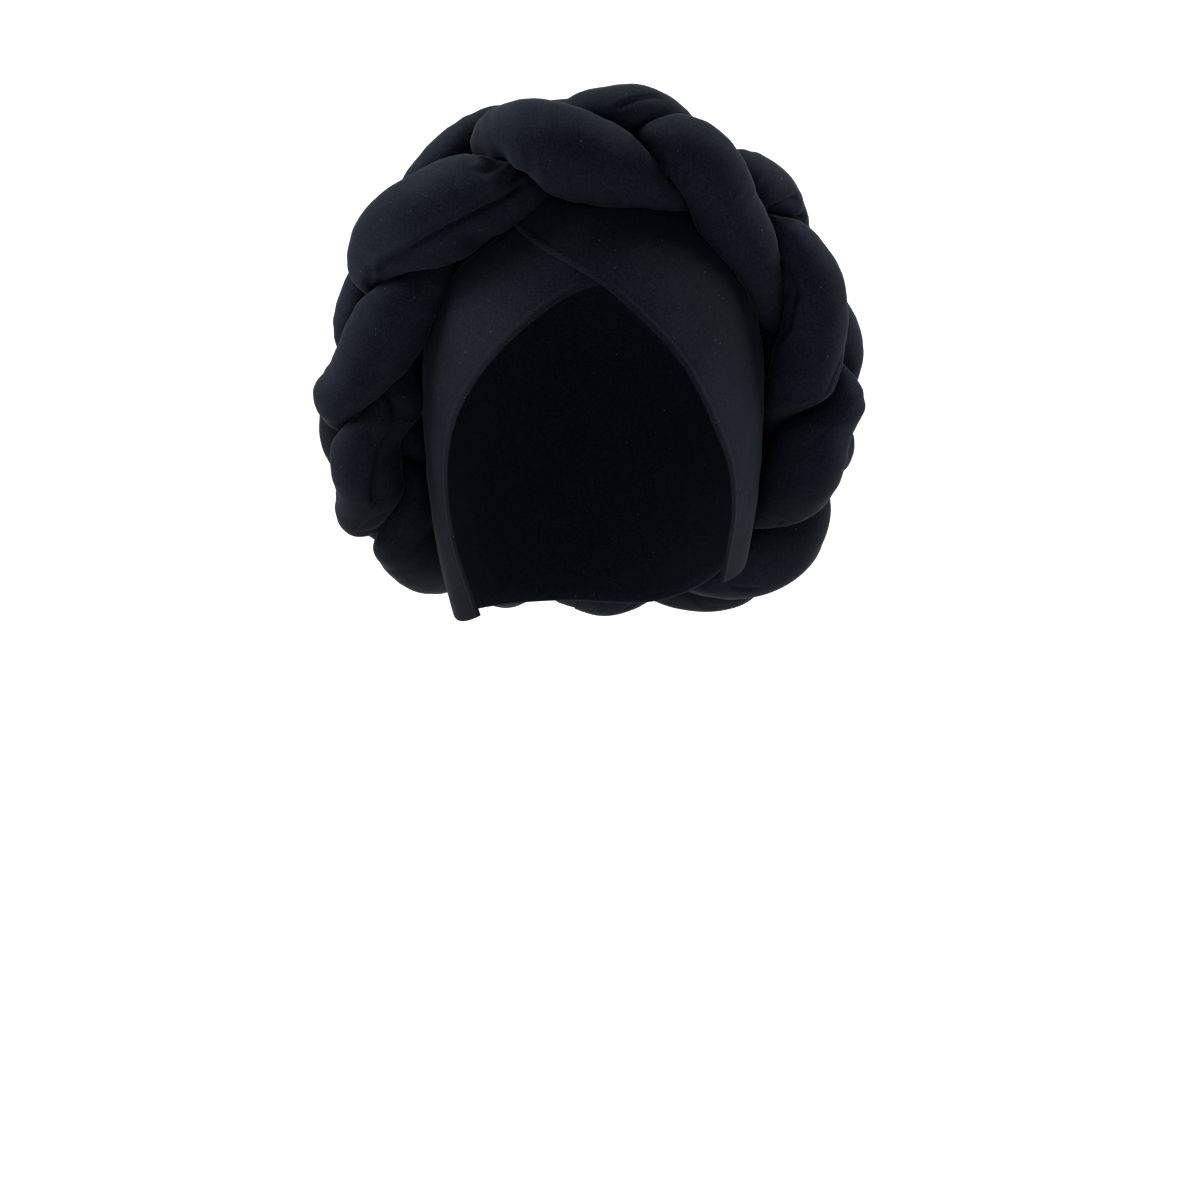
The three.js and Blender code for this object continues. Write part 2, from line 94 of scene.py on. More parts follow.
def smin(a, b, k):
    h = np.maximum(k - np.abs(a - b), 0) / k
    return np.minimum(a, b) - h * h * k * 0.25

def periodic(values, turn=0.0):
    v = np.asarray(values, float)
    n = len(v)
    flat = v - turn * np.arange(n) / n
    A = np.zeros((n, n))
    for i in range(n):
        A[i, i] = 4; A[i, (i + 1) % n] += 1; A[i, i - 1] += 1
    m = np.linalg.solve(A, 6 * (np.roll(flat, -1) - 2 * flat + np.roll(flat, 1)))
    def at(u):
        u = np.asarray(u, float)
        w = np.mod(u, n); i = np.floor(w).astype(int) % n; j = (i + 1) % n
        t = w - np.floor(w); s = 1 - t
        return s * flat[i] + t * flat[j] + ((s ** 3 - s) * m[i] + (t ** 3 - t) * m[j]) / 6 + turn * u / n
    return at

def rows_at(table, x):
    """smooth curve through table rows, x from 0 to 1, all columns at once"""
    v = np.asarray(table, float)
    n = len(v)
    v = np.vstack([2 * v[0] - v[1], v, 2 * v[-1] - v[-2]])
    y = np.asarray(x, float) * (n - 1)
    i = np.clip(np.floor(y).astype(int), 0, n - 2)
    f = (y - i)[:, None]
    a, b, c, d = v[i], v[i + 1], v[i + 2], v[i + 3]
    return b + 0.5 * f * (c - a + f * (2 * a - 5 * b + 4 * c - d + f * (3 * (b - c) + d - a)))

_rng = np.random.default_rng(7)
_lat = _rng.random((32, 32, 32))
def noise(p, scale, seed=0):
    """smooth value noise, -1..1, features about `scale` mm across"""
    q = np.asarray(p) / scale + seed * 7.31
    i = np.floor(q).astype(int); f = q - i; f = f * f * (3 - 2 * f)
    out = 0
    for dx in (0, 1):
        for dy in (0, 1):
            for dz in (0, 1):
                w = (f[..., 0] if dx else 1 - f[..., 0]) * (f[..., 1] if dy else 1 - f[..., 1]) * (f[..., 2] if dz else 1 - f[..., 2])
                out = out + w * _lat[(i[..., 0] + dx) % 32, (i[..., 1] + dy) % 32, (i[..., 2] + dz) % 32]
    return 2 * out - 1

# =====================================================================================================
# Head form: the space that the cap is cut to
# =====================================================================================================
def head_value(p):
    x, y, z = p[..., 0], p[..., 1], p[..., 2]
    t = np.clip((-MID - z) / TAPER, 0, 1.6)
    half = HALF - HALF_T * t ** 2.2
    long = np.where(y < 0, FRONT - FRONT_T * t ** 2.2, BACK - BACK_T * t ** 1.8)
    return np.sqrt((x / half) ** 2 + (y / long) ** 2 + (np.maximum(z + MID, 0) / MID) ** 2) - 1

def head_grad(p):
    g = np.zeros_like(p); e = 0.05
    for i in range(3):
        a = p.copy(); a[..., i] += e; b = p.copy(); b[..., i] -= e
        g[..., i] = (head_value(a) - head_value(b)) / (2 * e)
    return g

def head_dist(p):
    return head_value(p) / np.linalg.norm(head_grad(p), axis=-1)

def on_head(turn, drop):
    turn, drop = np.radians(np.asarray(turn, float)), np.asarray(drop, float)
    d = np.stack([np.sin(turn), -np.cos(turn), np.zeros_like(turn)], -1)
    base = np.stack([0 * drop, 0 * drop, -drop], -1)
    lo = np.zeros_like(drop); hi = np.full_like(drop, 130.0)
    for _ in range(36):
        r = (lo + hi) / 2; inside = head_value(base + d * r[..., None]) < 0
        lo = np.where(inside, r, lo); hi = np.where(inside, hi, r)
    return base + d * lo[..., None]

CENTRE = np.array([0, 0, -MID])
def outward(d):
    lo = np.full(d.shape[:-1], 5.0); hi = np.full(d.shape[:-1], 260.0)
    for _ in range(36):
        r = (lo + hi) / 2; inside = head_value(CENTRE + d * r[..., None]) < 0
        lo = np.where(inside, r, lo); hi = np.where(inside, hi, r)
    return CENTRE + d * lo[..., None]

def lifted(p, lift):
    return p + unit(head_grad(p)) * np.asarray(lift)[..., None]

# =====================================================================================================
# Meshes and materials' shared bits
# =====================================================================================================
def make(name, verts, faces, material, uv=None, smooth_shade=True):
    me = bpy.data.meshes.new(name)
    me.from_pydata((np.asarray(verts) * MM).tolist(), [], faces)
    me.update()
    if uv is not None:
        layer = me.uv_layers.new(name="UVMap")
        idx = np.zeros(len(me.loops), int); me.loops.foreach_get("vertex_index", idx)
        layer.data.foreach_set("uv", np.asarray(uv)[idx].astype(np.float32).ravel())
    if smooth_shade:
        me.polygons.foreach_set("use_smooth", [True] * len(me.polygons))
    ob = bpy.data.objects.new(name, me)
    bpy.context.scene.collection.objects.link(ob)
    me.materials.append(material)
    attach(ob, "root")
    return ob

def outwards(verts, faces):
    v = np.asarray(verts); total = 0.0
    f = np.array([t[:3] for t in faces] + [(t[0], t[2], t[3]) for t in faces if len(t) == 4])
    total = (v[f[:, 0]] * np.cross(v[f[:, 1]], v[f[:, 2]])).sum()
    return faces if total > 0 else [tuple(reversed(t)) for t in faces]

def grid_normals(V, wrap):
    du = np.gradient(V, axis=0)
    if wrap:
        dk = (np.roll(V, -1, 1) - np.roll(V, 1, 1)) / 2
    else:
        dk = np.gradient(V, axis=1)
    return unit(np.cross(du, dk))

# ---------------------------------------------------------------- materials
def jersey(name, base, sheen=0.3, tint=(0.62, 0.70, 0.86), lint=1.0, grain=1.0, knit=1.0, low_shade=1.0, plait_shade=1.0):
    """matte cotton jersey: mottled colour, knit ribs along V, fuzz and lint; optional painted shade, darker towards
    the bottom and away from the hem
    """
    m = bpy.data.materials.new(name); m.use_nodes = True
    n, l = m.node_tree.nodes, m.node_tree.links
    n.clear()
    out = n.new("ShaderNodeOutputMaterial"); b = n.new("ShaderNodeBsdfPrincipled")
    l.new(b.outputs[0], out.inputs[0])
    b.inputs["Roughness"].default_value = 0.93
    b.inputs["Specular IOR Level"].default_value = 0.03
    b.inputs["Sheen Weight"].default_value = sheen
    b.inputs["Sheen Roughness"].default_value = 0.24
    b.inputs["Sheen Tint"].default_value = (*tint, 1)
    tc = n.new("ShaderNodeTexCoord")
    def noise_node(scale, detail=3.0, rough=0.55):
        t = n.new("ShaderNodeTexNoise"); t.inputs["Scale"].default_value = scale
        t.inputs["Detail"].default_value = detail; t.inputs["Roughness"].default_value = rough
        l.new(tc.outputs["Object"], t.inputs["Vector"]); return t
    broad, mottle, fuzz = noise_node(26, 3), noise_node(600, 3, 0.65), noise_node(1350, 2, 0.6)
    def ramp(src, lo, hi, a, c):
        r = n.new("ShaderNodeMapRange"); r.inputs["From Min"].default_value = lo; r.inputs["From Max"].default_value = hi
        r.inputs["To Min"].default_value = a; r.inputs["To Max"].default_value = c
        l.new(src, r.inputs["Value"]); return r.outputs[0]
    def math(op, a, c=None):
        t = n.new("ShaderNodeMath"); t.operation = op
        for k, s in enumerate((a, c)):
            if s is None: continue
            if isinstance(s, (int, float)): t.inputs[k].default_value = s
            else: l.new(s, t.inputs[k])
        return t.outputs[0]
    tone = math("MULTIPLY", ramp(broad.outputs["Fac"], 0.3, 0.7, 0.88, 1.12), ramp(mottle.outputs["Fac"], 0.3, 0.7, 0.82, 1.18))
    tone = math("MULTIPLY", tone, ramp(fuzz.outputs["Fac"], 0.3, 0.7, 0.45, 1.6))
    if low_shade != 1.0:                       # painted shade: darker towards the bottom, where the undersides fall in shade
        shade_height = n.new("ShaderNodeSeparateXYZ"); l.new(tc.outputs["Object"], shade_height.inputs[0])
        tone = math("MULTIPLY", tone, ramp(shade_height.outputs[2], -0.19, -0.08, low_shade, 1.0))
    if plait_shade != 1.0:                      # painted shade: darker away from the hem, where the plait shadows the panel
        from_hem = n.new("ShaderNodeUVMap"); from_hem.uv_map = "UVMap"
        sp = n.new("ShaderNodeSeparateXYZ"); l.new(from_hem.outputs[0], sp.inputs[0])
        # painted shade cast by the plait: tone falls from 1 at the hem to the given factor farther in
        tone = math("MULTIPLY", tone, ramp(sp.outputs[0], 0.012, 0.05, 1.0, plait_shade))
    # lint: a few pale specks
    vo = n.new("ShaderNodeTexVoronoi"); vo.inputs["Scale"].default_value = 430
    vo.inputs["Randomness"].default_value = 1.0
    l.new(tc.outputs["Object"], vo.inputs["Vector"])
    near = math("LESS_THAN", vo.outputs["Distance"], 0.11)
    pick = n.new("ShaderNodeSeparateColor"); l.new(vo.outputs["Color"], pick.inputs[0])
    speck = math("MULTIPLY", near, math("GREATER_THAN", pick.outputs[0], 1 - 0.075 * lint))
    speck = math("MULTIPLY", speck, pick.outputs[1])
    mix = n.new("ShaderNodeMix"); mix.data_type = "RGBA"; mix.blend_type = "MULTIPLY"
    mix.inputs["Factor"].default_value = 1.0
    mix.inputs["A"].default_value = (*base, 1)
    comb = n.new("ShaderNodeCombineColor"); [l.new(tone, comb.inputs[k]) for k in range(3)]
    l.new(comb.outputs[0], mix.inputs["B"])
    mix2 = n.new("ShaderNodeMix"); mix2.data_type = "RGBA"
    l.new(math("MULTIPLY", speck, 0.42), mix2.inputs["Factor"]); l.new(mix.outputs["Result"], mix2.inputs["A"])
    mix2.inputs["B"].default_value = (0.16, 0.17, 0.18, 1)
    l.new(mix2.outputs["Result"], b.inputs["Base Color"])
    # knit: wales across U, courses along V (metres in the UV map)
    uv = n.new("ShaderNodeUVMap"); uv.uv_map = "UVMap"
    sep = n.new("ShaderNodeSeparateXYZ"); l.new(uv.outputs[0], sep.inputs[0])
    wale = math("MULTIPLY", sep.outputs[0], 2 * pi / 0.00115)
    zig = math("ABSOLUTE", math("SINE", math("MULTIPLY", wale, 0.5)))
    course = math("SINE", math("ADD", math("MULTIPLY", sep.outputs[1], 2 * pi / 0.00085), math("MULTIPLY", zig, 2.6)))
    knit_h = math("ADD", math("MULTIPLY", math("SINE", wale), 0.5), math("MULTIPLY", course, 0.5))
    h = math("ADD", math("MULTIPLY", knit_h, 0.30 * knit), math("MULTIPLY", fuzz.outputs["Fac"], 1.1 * grain))
    h = math("ADD", h, math("MULTIPLY", mottle.outputs["Fac"], 0.9 * grain))
    bump = n.new("ShaderNodeBump"); bump.inputs["Strength"].default_value = 0.105; bump.inputs["Distance"].default_value = 0.00035
    l.new(h, bump.inputs["Height"]); l.new(bump.outputs[0], b.inputs["Normal"])
    l.new(ramp(mottle.outputs["Fac"], 0.3, 0.7, 0.86, 0.98), b.inputs["Roughness"])
    return m

# painted shade: the plait jersey and both panel jerseys darken towards the bottom
MAT_PLAIT = jersey("plait_jersey", (0.0042, 0.0055, 0.0086), sheen=0.045, low_shade=0.7)
MAT_CAP = jersey("cap_jersey", (0.0042, 0.0055, 0.0086), sheen=0.035)
# the two panels use copies of one jersey that differ only in their painted shade: how dark they turn towards the
# bottom and under the plait
MAT_UNDER = jersey("panel_jersey_under", (0.0043, 0.0054, 0.0083), sheen=0.026, grain=1.3, low_shade=0.5, plait_shade=0.8)
MAT_OVER = jersey("panel_jersey", (0.0043, 0.0055, 0.0086), sheen=0.026, grain=1.3, low_shade=0.8, plait_shade=0.65)

# =====================================================================================================
# Plait
# =====================================================================================================
T = {c: periodic([r[i] for r in LOBES], 360.0 if c == "clock" else 0.0) for i, c in enumerate(COLS)}

def ring_point(u):
    a = np.radians(T["clock"](u)); r = T["ring"](u)
    return np.stack([-r * np.sin(a), T["depth"](u), -97 - r * np.cos(a)], -1)

def ring_frame(u):
    at = ring_point(u); along = unit(ring_point(u + 0.02) - ring_point(u - 0.02))
    raw = np.stack([at[:, 0] / 79.5 ** 2, at[:, 1] / 97.0 ** 2, (at[:, 2] + 120) / 121.0 ** 2], -1)
    out = unit(raw - (raw * along).sum(-1, keepdims=True) * along)
    return at, along, out, np.cross(along, out)

def strand_at(j, u):
    at, along, out, fore = ring_frame(u)
    phase = 2 * pi * (u - j) / 3 + pi / 2; s = np.sin(phase)
    swing = np.where(s > 0, T["fore"](u) * s, T["aft"](u) * s)
    t = smooth((s - 0.5) / 0.4); b = T["rise"](u)
    wide = np.maximum(b, CROSS_RISE) * (1 - t) + b * t
    rise = wide * np.sin(2 * phase) - T["sink"](u) * (1 - smooth(np.abs(s))) + T["aft_drop"](u) * np.maximum(-s, 0)
    p = at + fore * swing[:, None] + out * rise[:, None] + along * (T["lead"](u) * np.maximum(s, 0))[:, None]
    end = np.minimum(END - u, u - (END - TURN))
    g = (T["girth"](u) * (1 + s) + T["aft_girth"](u) * (1 - s)) / 2 * (0.88 + 0.12 * smooth(end / 0.3))
    d = head_dist(p) - CORE_CLEAR; k = SOFT_PUSH
    push = np.where(d < k, np.where(d > -k, (k - d) ** 2 / (4 * k), -d), 0)
    return p + unit(head_grad(p)) * push[:, None], g, along, out, fore, phase

FINE = 0.06
NU = int(round(TURN / FINE)) + 1
U_CORE = np.linspace(END - TURN, END, NU)
CORE = [strand_at(j, U_CORE) for j in range(3)]

def skin(j, u, p, reach):
    """distance to strand j's round skin; it sags towards the cap, which it rests on"""
    k0 = np.clip(np.round((u - (END - TURN)) / FINE).astype(int), 0, NU - 2)
    off = np.arange(-int(np.ceil(reach / FINE)), int(np.ceil(reach / FINE)) + 1)
    idx = np.clip(k0[:, None] + off, 0, NU - 2)
    P, G, O = CORE[j][0], CORE[j][1], CORE[j][3]
    sag = SAG_AFT + (SAG_FORE - SAG_AFT) * smooth((np.sin(CORE[j][5]) + 1) / 2)
    best = np.full(p.shape[:2], 1e9)
    for w in range(idx.shape[1]):
        a, b, ra, rb = P[idx[:, w]], P[idx[:, w] + 1], G[idx[:, w]], G[idx[:, w] + 1]
        ab = b - a; l2 = (ab ** 2).sum(-1)
        ap = p - a[:, None]
        t = np.clip((ap * ab[:, None]).sum(-1) / l2[:, None], 0, 1)
        q = ap - ab[:, None] * t[..., None]; far = np.linalg.norm(q, axis=-1); rad = ra[:, None] * (1 - t) + rb[:, None] * t
        inward = np.maximum(-(q * O[idx[:, w]][:, None]).sum(-1) / np.maximum(far, 1e-6), 0)
        best = np.minimum(best, far - rad * (1 + sag[idx[:, w]][:, None] * inward ** 2))
    return best

def resample(A, n, m):
    """smooth upsampling of a grid, rows open, columns wrapped"""
    def cr(A, x, wrap):
        k = A.shape[0]; i = np.floor(x).astype(int); f = (x - i).reshape(-1, *([1] * (A.ndim - 1)))
        g = (lambda q: A[q % k]) if wrap else (lambda q: A[np.clip(q, 0, k - 1)])
        a, b, c, d = g(i - 1), g(i), g(i + 1), g(i + 2)
        return b + 0.5 * f * (c - a + f * (2 * a - 5 * b + 4 * c - d + f * (3 * (b - c) + d - a)))
    B = cr(A, np.linspace(0, A.shape[0] - 1, n), False)
    return np.swapaxes(cr(np.swapaxes(B, 0, 1), np.arange(m) * A.shape[1] / m, True), 0, 1)

def strand_shape(j, stations=230, sides=40):
    u = np.linspace(END - TURN + 0.004, END - 0.004, stations)
    P, G, along, out, fore, phase = strand_at(j, u)
    a = 2 * pi * np.arange(sides) / sides
    D = fore[:, None] * np.cos(a)[None, :, None] + out[:, None] * np.sin(a)[None, :, None]
    def room(r):
        p = P[:, None] + D * r[..., None]
        own = skin(j, u, p, 0.5)
        block = (head_dist(p) - SEAT)
        for o in range(3):
            if o != j: block = np.minimum(block, (skin(o, u, p, 0.75) - own - GAP) / 2)
        return smin(-own, block, ROUND), block
    reach = G * 1.9; steps = 11
    first = np.full(D.shape[:2], steps, int)
    for k in range(1, steps + 1):
        blocked = (room(np.repeat((reach * k / steps)[:, None], sides, 1))[0] <= 0) & (first == steps)
        first = np.where(blocked, k - 1, first)
    lo = np.maximum(reach[:, None] * first / steps, 1.0); hi = reach[:, None] * np.minimum(first + 1, steps) / steps
    for _ in range(8):
        r = (lo + hi) / 2; ok = room(r)[0] > 0
        lo = np.where(ok, r, lo); hi = np.where(ok, hi, r)
    block = room(lo)[1]
    # ease single-ray steps
    r = lo
    for _ in range(2):
        r = 0.5 * r + 0.25 * (np.roll(r, 1, 1) + np.roll(r, -1, 1))
        r[1:-1] = 0.5 * r[1:-1] + 0.25 * (r[2:] + r[:-2])
    r = np.minimum(r, lo + 0.6)
    return u, r, block

def strand_mesh(j, quick):
    n, m = (300, 48) if quick else (760, 120)
    u0, r0, block0 = strand_shape(j, 150 if quick else 230, 32 if quick else 40)
    r = resample(r0, n, m); block = resample(block0, n, m)
    u = np.linspace(u0[0], u0[-1], n)
    P, G, along, out, fore, phase = strand_at(j, u)
    a = 2 * pi * np.arange(m) / m
    D = fore[:, None] * np.cos(a)[None, :, None] + out[:, None] * np.sin(a)[None, :, None]
    V = P[:, None] + D * r[..., None]
    N = grid_normals(V, True)
    if ((V - P[:, None]) * N).sum(-1).mean() < 0: N = -N
    # soft lumps of the filling, and small puckers running in from the creases
    free = smooth(block / 7.0)
    lump = 0.75 * noise(V, 30, j) + 0.35 * noise(V, 14, j + 5)
    arc = np.concatenate([[0], np.cumsum(np.linalg.norm(np.diff(P, axis=0), axis=1))])
    rim = np.exp(-((block - 3.0) / 5.0) ** 2)
    pucker = 0.45 * noise(np.stack([np.repeat(arc[:, None], m, 1) / 0.45, np.repeat((a * 17)[None], n, 0) / 2.4, 0 * r], -1), 9, j + 11) * rim
    V = V + N * ((lump * free + pucker)[..., None])
    V = fold_strokes(j, u, a, V, N, G)
    uv = np.stack([np.repeat((a * 0.019)[None], n, 0), np.repeat((arc * MM)[:, None], m, 1)], -1).reshape(-1, 2)
    verts = V.reshape(-1, 3); faces = []
    for i in range(n - 1):
        for k in range(m):
            k2 = (k + 1) % m
            faces.append((i * m + k, (i + 1) * m + k, (i + 1) * m + k2, i * m + k2))
    c0, c1 = V[0].mean(0), V[-1].mean(0)
    e = len(verts)
    verts = np.vstack([verts, c0 * 0.4 + V[0] * 0.6, c1 * 0.4 + V[-1] * 0.6, c0, c1])
    uv = np.vstack([uv, uv[:m], uv[(n - 1) * m:(n - 1) * m + m], uv[0], uv[-1]])
    for k in range(m):
        k2 = (k + 1) % m
        faces.append((k, k2, e + k2, e + k)); faces.append((e + k, e + k2, e + 2 * m))
        q = (n - 1) * m
        faces.append((q + k2, q + k, e + m + k, e + m + k2)); faces.append((e + m + k2, e + m + k, e + 2 * m + 1))
    faces = outwards(verts, faces)
    ob = make("plait_strand_%d" % (j + 1), verts, faces, MAT_PLAIT, uv)
    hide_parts("strand_%d" % (j + 1))
    return ob

# Creases, tucks and ledges on single lobes. Places are (lobe, degrees round the tube: 0 front edge, 90 outermost,
# 270 towards the cap). width, depth at the start, depth at the end, ledge: mm; a ledge lifts the outer side of the line.
FOLDS = [
    # strand, places, width, depth_a, depth_b, ledge
    (1, [(3.42, 15), (3.60, 4), (3.78, 2), (3.96, 4), (4.20, 10), (4.36, 12), (4.50, 12)], 1.5, 1.3, 4.2, 5.0),
    (1, [(3.22, 40), (3.33, 26), (3.48, 19)], 1.1, 1.3, 0.4, 0.8),
    (1, [(3.22, 38), (3.29, 19), (3.42, 4)], 1.1, 1.2, 0.3, 0.8),
    (1, [(4.26, 62), (4.32, 54), (4.40, 46)], 1.5, 0.4, 1.6, 0.4),
    (2, [(1.78, 352), (2.05, 340), (2.34, 336), (2.60, 336)], 2.0, 1.4, 2.0, 3.2),
    (2, [(1.60, 12), (1.79, 349)], 1.1, -0.9, -0.6, 0.0),
    (0, [(2.80, 352), (2.91, 341), (3.00, 335)], 3.2, 1.2, 1.6, 0.0),
    (0, [(5.26, 34), (5.30, 22), (5.36, 6)], 1.2, 1.8, 1.2, 1.2),
    (0, [(5.36, 28), (5.41, 10), (5.47, 350)], 1.2, 1.8, 1.2, 1.2),
    (0, [(5.47, 16), (5.52, 358), (5.58, 342)], 1.2, 1.5, 1.0, 1.0),
    (1, [(6.36, 2), (6.48, 349), (6.56, 341), (6.64, 322), (6.76, 311), (6.90, 284)], 1.3, 2.2, 1.6, 2.4),
    (1, [(6.40, 346), (6.52, 332), (6.62, 308)], 0.9, 0.7, 0.5, 0.3),
    (2, [(6.10, 8), (6.15, 38), (6.22, 72)], 1.7, 4.2, 3.2, 2.2),
    (2, [(6.24, 12), (6.29, 40), (6.35, 70)], 1.5, 2.8, 2.2, 1.2),
    (0, [(8.88, 356), (8.97, 330)], 1.6, 1.1, 0.8, 0.3),
    (1, [(7.04, 66), (7.21, 41), (7.36, 22)], 1.0, 0.9, 0.6, 0.5),
    (1, [(7.12, 70), (7.26, 48), (7.40, 34)], 0.9, 0.7, 0.4, 0.3),
    (1, [(4.98, 58), (5.08, 71), (5.24, 92)], 1.3, 1.4, 1.0, 1.2),
]
# Round swellings (+) and dimples (-): strand, lobe, degrees, reach, height
LUMPS = [
    (1, 4.43, 44, 6.5, 3.0), (2, 4.40, 20, 6.0, -2.4), (1, 4.34, 52, 2.4, -1.8), (1, 4.45, 26, 2.8, -2.0),
    (0, 2.91, 341, 4.0, -1.2), (2, 4.55, 345, 9.0, -1.6), (2, 2.15, 296, 9.0, -2.6), (1, 1.30, 5, 9.0, 1.0),
    (2, 2.56, 276, 7.5, 4.2), (1, 7.37, 268, 8.0, 2.2), (1, 3.75, 80, 14.0, 2.4), (1, 5.10, 86, 14.0, 2.0), (0, 2.85, 80, 14.0, -2.8), (1, 4.08, 324, 9.0, -4.2),
]
def fold_strokes(j, u, a, V, N, G):
    n, m = V.shape[:2]
    arc = np.concatenate([[0], np.cumsum(np.linalg.norm(np.diff(V.mean(1), axis=0), axis=1))])
    def flat(place, deg, mid, R):
        return np.interp(place, u, arc), (np.mod(radians(deg) - mid + pi, 2 * pi) - pi) * R
    push = np.zeros((n, m))
    for strand, places, width, depth_a, depth_b, ledge in FOLDS:
        if strand != j: continue
        mid = radians(places[len(places) // 2][1]); R = np.interp(np.mean([p[0] for p in places]), u, G)
        i0, i1 = np.searchsorted(u, [places[0][0] - 0.45, places[-1][0] + 0.45]); i0, i1 = max(i0, 0), min(i1, n)
        x = arc[i0:i1, None] + 0 * a[None]
        y = (np.mod(a[None] - mid + pi, 2 * pi) - pi) * R + 0 * x
        pts = np.array([flat(p, d, mid, R) for p, d in places])
        seg = np.linalg.norm(np.diff(pts, axis=0), axis=1); start = np.concatenate([[0], np.cumsum(seg)])
        near = np.full(x.shape, 1e9); side = np.zeros(x.shape); run = np.zeros(x.shape)
        for k in range(len(seg)):
            d = (pts[k + 1] - pts[k]) / seg[k]
            t = (x - pts[k, 0]) * d[0] + (y - pts[k, 1]) * d[1]
            t2 = np.clip(t, 0, seg[k])
            dist = np.hypot(x - pts[k, 0] - d[0] * t2, y - pts[k, 1] - d[1] * t2)
            sg = (y - pts[k, 1]) * d[0] - (x - pts[k, 0]) * d[1]
            new = dist < near
            near = np.where(new, dist, near); side = np.where(new, np.sign(sg) * dist, side); run = np.where(new, start[k] + t, run)
        L = start[-1]; soft = max(min(0.25 * L, 6.0), 2.0)
        fade = smooth((run + 0.3 * soft) / soft) * smooth((L - run + 0.3 * soft) / soft)
        depth = depth_a + (depth_b - depth_a) * np.clip(run / L, 0, 1)
        step = ledge * 0.5 * np.tanh(side / (0.45 * width)) * np.exp(-(side / (3.2 * width)) ** 2)
        push[i0:i1] += (-depth * np.exp(-(side / width) ** 2) + step) * fade
    for strand, place, deg, reach, height in LUMPS:
        if strand != j: continue
        mid = radians(deg); R = np.interp(place, u, G); x0 = np.interp(place, u, arc)
        y = (np.mod(a[None] - mid + pi, 2 * pi) - pi) * R
        push += height * np.exp(-((arc[:, None] - x0) ** 2 + y ** 2) / reach ** 2)
    return V + N * push[..., None]

# =====================================================================================================
# Cap: crown and the two front panels
# =====================================================================================================
def crown(quick):
    cols, rows = (110, 34) if quick else (200, 60)
    turn = periodic([r[0] for r in CROWN_EDGE], 360.0); drop = periodic([r[1] for r in CROWN_EDGE])
    ue = np.arange(cols) / cols * len(CROWN_EDGE)
    edge = unit(on_head(turn(ue), drop(ue)) - CENTRE)
    pole = unit(np.array([0, 0.42, 1.0]))
    ang = np.arccos(np.clip(edge @ pole, -1, 1)); side = unit(edge - (edge @ pole)[:, None] * pole)
    t = np.linspace(0, 1, rows + 1)[1:]
    d = pole * np.cos(ang[None, :, None] * t[:, None, None]) + side[None] * np.sin(ang[None, :, None] * t[:, None, None])
    S = outward(unit(d))                                   # rows, cols, 3
    gap = np.linalg.norm(S - S[-1][None], axis=-1)         # distance in from the edge
    Nn = unit(head_grad(S))
    nape = smooth((-S[..., 2] - 190) / 30)
    hem = np.exp(-((gap - 14) / 1.2) ** 2) * nape          # stitch line of the nape hem
    roll = smooth((15 - gap) / 2) * nape * 0.5
    wr = 0.35 * noise(S, 34, 3) + 0.12 * noise(S, 11, 4)
    outer = S + Nn * (0.3 + CLOTH + roll + wr * 0.8 - 0.45 * hem)[..., None]
    inner = S + Nn * (0.3 + 0 * gap)[..., None]
    top = outward(pole[None])[0]; nt = unit(head_grad(top[None]))[0]
    verts = [top + nt * (0.3 + CLOTH), top + nt * 0.3]
    # closed profile: outer rows, two points round the edge, inner rows back
    e_out = unit(S[-1] - S[-2]) * 0.55
    r1 = (outer[-1] * 0.75 + inner[-1] * 0.25) + e_out; r2 = (outer[-1] * 0.25 + inner[-1] * 0.75) + e_out
    prof = np.concatenate([outer, r1[None], r2[None], inner[::-1]], 0)   # layers, cols
    nl = len(prof)
    V = np.vstack([np.array(verts), prof.reshape(-1, 3)])
    f = []
    for i in range(cols):
        i2 = (i + 1) % cols
        f.append((0, 2 + i, 2 + i2)); f.append((1, 2 + (nl - 1) * cols + i2, 2 + (nl - 1) * cols + i))
        for k in range(nl - 1):
            f.append((2 + k * cols + i, 2 + (k + 1) * cols + i, 2 + (k + 1) * cols + i2, 2 + k * cols + i2))
    f = outwards(V, f)
    uv = np.stack([V[:, 0] * MM, V[:, 2] * MM + V[:, 1] * MM * 0.4], -1)
    ob = make("cap_shell", V, f, MAT_CAP, uv)
    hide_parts("cap_crown")
    return ob

